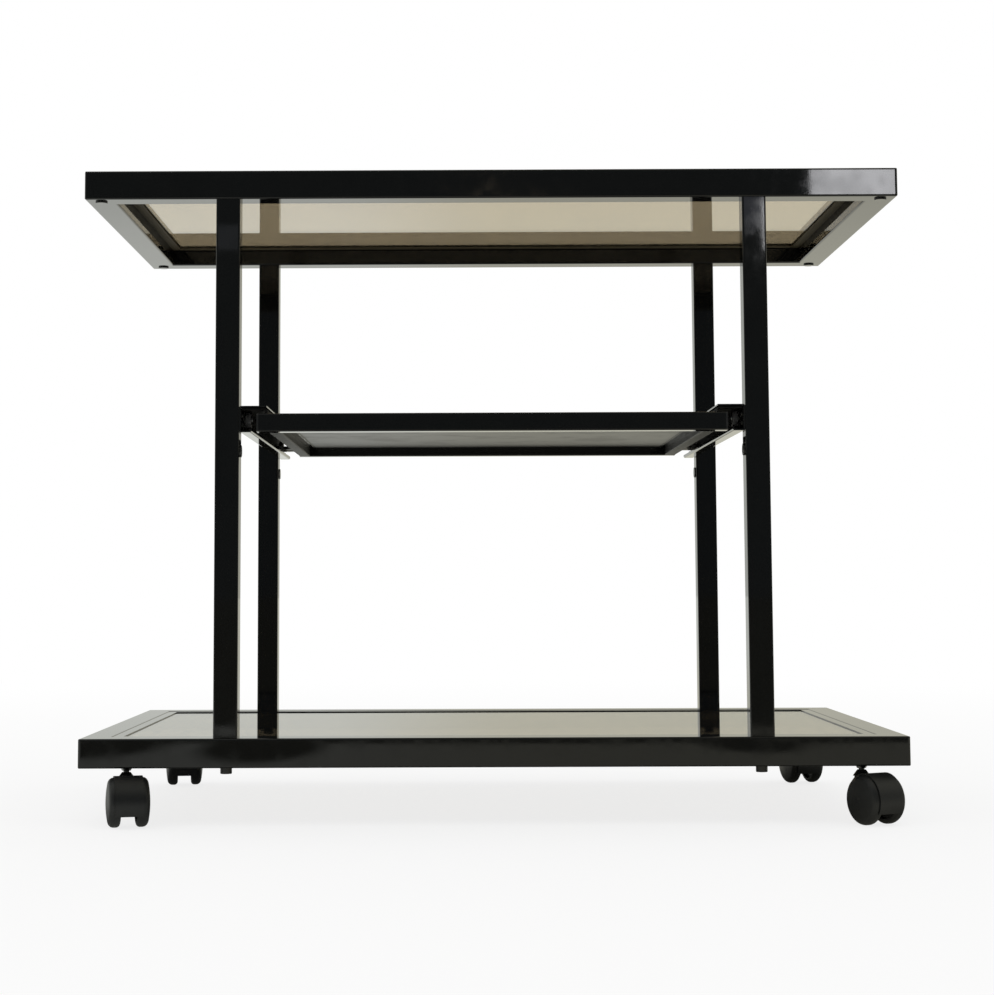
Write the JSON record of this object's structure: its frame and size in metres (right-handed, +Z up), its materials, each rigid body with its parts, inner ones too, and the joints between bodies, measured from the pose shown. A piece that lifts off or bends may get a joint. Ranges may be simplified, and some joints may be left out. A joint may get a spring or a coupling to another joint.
{
  "type": "bar_cart",
  "caption": "Low bar cart in glossy black lacquered square tube with smoked glass top and bottom shelves, a narrower pull-out shelf between the posts, and hooded twin-wheel casters",
  "frame": {"origin": "on the floor, under the middle of the frame", "axes": "+X to the right seen from the front, +Y to the back, +Z up; the shelf pulls out towards -Y"},
  "size_m": [0.85, 0.5107, 0.6765],
  "materials": {
    "black_lacquer": "glossy black lacquer on square steel tube",
    "slide_lacquer": "black enamelled bent sheet steel, half gloss",
    "runner_paint": "dull black paint on bent sheet steel",
    "dull_paint": "thin dull dark paint inside the frame",
    "smoked_glass": "smoked bronze float glass with ground edges",
    "shelf_board": "satin black lacquered board",
    "black_rubber": "soft black glazing tape",
    "black_plastic": "moulded black plastic",
    "blackened_steel": "black oxide steel",
    "zinc_steel": "zinc plated steel",
    "roller_nylon": "dark nylon, slightly polished by rolling",
    "caster_plastic": "dark grey moulded plastic with scuffed treads"
  },
  "bodies": {
    "cart_frame": {"top_front_rail": "black_lacquer", "top_right_rail": "black_lacquer", "top_back_rail": "black_lacquer", "top_left_rail": "black_lacquer", "top_glass_ledges": "dull_paint", "top_glass": "smoked_glass", "top_glazing_beads": "black_lacquer", "bottom_front_rail": "black_lacquer", "bottom_right_rail": "black_lacquer", "bottom_back_rail": "black_lacquer", "bottom_left_rail": "black_lacquer", "bottom_glass_ledges": "dull_paint", "bottom_glass": "smoked_glass", "bottom_glazing_beads": "black_lacquer", "front_left_post": "black_lacquer", "front_right_post": "black_lacquer", "back_left_post": "black_lacquer", "back_right_post": "black_lacquer", "glass_tapes": "black_rubber", "hole_plugs": "black_plastic", "post_inserts": "black_plastic", "post_bolts": "blackened_steel", "post_washers": "blackened_steel", "caster_sockets": "zinc_steel", "left_track": "slide_lacquer", "right_track": "slide_lacquer", "track_screws": "blackened_steel", "front_roller_axles": "zinc_steel"},
    "pull_out_shelf": {"shelf_front_rail": "black_lacquer", "shelf_back_rail": "black_lacquer", "shelf_left_rail": "black_lacquer", "shelf_right_rail": "black_lacquer", "shelf_end_caps": "black_plastic", "shelf_ledges": "black_lacquer", "shelf_panel": "shelf_board", "left_runner": "runner_paint", "right_runner": "runner_paint", "runner_screws": "blackened_steel", "rear_roller_axles": "zinc_steel"},
    "left_front_roller": {"left_front_roller": "roller_nylon"},
    "left_rear_roller": {"left_rear_roller": "roller_nylon"},
    "right_front_roller": {"right_front_roller": "roller_nylon"},
    "right_rear_roller": {"right_rear_roller": "roller_nylon"},
    "front_left_caster": {"front_left_caster_hood": "caster_plastic", "front_left_caster_pins": "blackened_steel"},
    "front_left_caster_left_wheel": {"front_left_caster_left_wheel": "caster_plastic"},
    "front_left_caster_right_wheel": {"front_left_caster_right_wheel": "caster_plastic"},
    "front_right_caster": {"front_right_caster_hood": "caster_plastic", "front_right_caster_pins": "blackened_steel"},
    "front_right_caster_left_wheel": {"front_right_caster_left_wheel": "caster_plastic"},
    "front_right_caster_right_wheel": {"front_right_caster_right_wheel": "caster_plastic"},
    "back_left_caster": {"back_left_caster_hood": "caster_plastic", "back_left_caster_pins": "blackened_steel"},
    "back_left_caster_left_wheel": {"back_left_caster_left_wheel": "caster_plastic"},
    "back_left_caster_right_wheel": {"back_left_caster_right_wheel": "caster_plastic"},
    "back_right_caster": {"back_right_caster_hood": "caster_plastic", "back_right_caster_pins": "blackened_steel"},
    "back_right_caster_left_wheel": {"back_right_caster_left_wheel": "caster_plastic"},
    "back_right_caster_right_wheel": {"back_right_caster_right_wheel": "caster_plastic"}
  },
  "joints": [
    {"name": "shelf_slide", "type": "slide", "parent": "cart_frame", "child": "pull_out_shelf", "axis": [0, -1, 0], "range_m": [0, 0.25]},
    {"name": "left_front_roller_spin", "type": "hinge", "parent": "cart_frame", "child": "left_front_roller", "pos_m": [-0.2555, -0.204, 0.417], "axis": [1, 0, 0], "range_deg": [0, 1795.5]},
    {"name": "left_rear_roller_spin", "type": "hinge", "parent": "pull_out_shelf", "child": "left_rear_roller", "pos_m": [-0.2555, 0.1845, 0.4117], "axis": [1, 0, 0], "range_deg": [0, 1795.5]},
    {"name": "right_front_roller_spin", "type": "hinge", "parent": "cart_frame", "child": "right_front_roller", "pos_m": [0.2555, -0.204, 0.417], "axis": [1, 0, 0], "range_deg": [0, 1795.5]},
    {"name": "right_rear_roller_spin", "type": "hinge", "parent": "pull_out_shelf", "child": "right_rear_roller", "pos_m": [0.2555, 0.1845, 0.4117], "axis": [1, 0, 0], "range_deg": [0, 1795.5]},
    {"name": "front_left_caster_swivel", "type": "hinge", "parent": "cart_frame", "child": "front_left_caster", "pos_m": [-0.378, -0.22, 0.0585], "axis": [0, 0, 1], "continuous": true},
    {"name": "front_left_caster_left_wheel_spin", "type": "hinge", "parent": "front_left_caster", "child": "front_left_caster_left_wheel", "pos_m": [-0.38597, -0.24466, 0.025], "axis": [0.9703, 0.2419, 0], "continuous": true},
    {"name": "front_left_caster_right_wheel_spin", "type": "hinge", "parent": "front_left_caster", "child": "front_left_caster_right_wheel", "pos_m": [-0.35939, -0.23803, 0.025], "axis": [0.9703, 0.2419, 0], "continuous": true},
    {"name": "front_right_caster_swivel", "type": "hinge", "parent": "cart_frame", "child": "front_right_caster", "pos_m": [0.378, -0.22, 0.0585], "axis": [0, 0, 1], "continuous": true},
    {"name": "front_right_caster_left_wheel_spin", "type": "hinge", "parent": "front_right_caster", "child": "front_right_caster_left_wheel", "pos_m": [0.37578, -0.24582, 0.025], "axis": [0.891, 0.454, 0], "continuous": true},
    {"name": "front_right_caster_right_wheel_spin", "type": "hinge", "parent": "front_right_caster", "child": "front_right_caster_right_wheel", "pos_m": [0.4002, -0.23338, 0.025], "axis": [0.891, 0.454, 0], "continuous": true},
    {"name": "back_left_caster_swivel", "type": "hinge", "parent": "cart_frame", "child": "back_left_caster", "pos_m": [-0.378, 0.22, 0.0585], "axis": [0, 0, 1], "continuous": true},
    {"name": "back_left_caster_left_wheel_spin", "type": "hinge", "parent": "back_left_caster", "child": "back_left_caster_left_wheel", "pos_m": [-0.38809, 0.19613, 0.025], "axis": [0.9877, 0.1564, 0], "continuous": true},
    {"name": "back_left_caster_right_wheel_spin", "type": "hinge", "parent": "back_left_caster", "child": "back_left_caster_right_wheel", "pos_m": [-0.36103, 0.20041, 0.025], "axis": [0.9877, 0.1564, 0], "continuous": true},
    {"name": "back_right_caster_swivel", "type": "hinge", "parent": "cart_frame", "child": "back_right_caster", "pos_m": [0.378, 0.22, 0.0585], "axis": [0, 0, 1], "continuous": true},
    {"name": "back_right_caster_left_wheel_spin", "type": "hinge", "parent": "back_right_caster", "child": "back_right_caster_left_wheel", "pos_m": [0.37024, 0.19527, 0.025], "axis": [0.9681, 0.2504, 0], "continuous": true},
    {"name": "back_right_caster_right_wheel_spin", "type": "hinge", "parent": "back_right_caster", "child": "back_right_caster_right_wheel", "pos_m": [0.39677, 0.20213, 0.025], "axis": [0.9681, 0.2504, 0], "continuous": true}
  ],
  "couplings": [
    {"joint": "left_front_roller_spin", "follows": "shelf_slide", "rad_per_m": 125},
    {"joint": "left_rear_roller_spin", "follows": "shelf_slide", "rad_per_m": 125},
    {"joint": "right_front_roller_spin", "follows": "shelf_slide", "rad_per_m": 125},
    {"joint": "right_rear_roller_spin", "follows": "shelf_slide", "rad_per_m": 125}
  ]
}
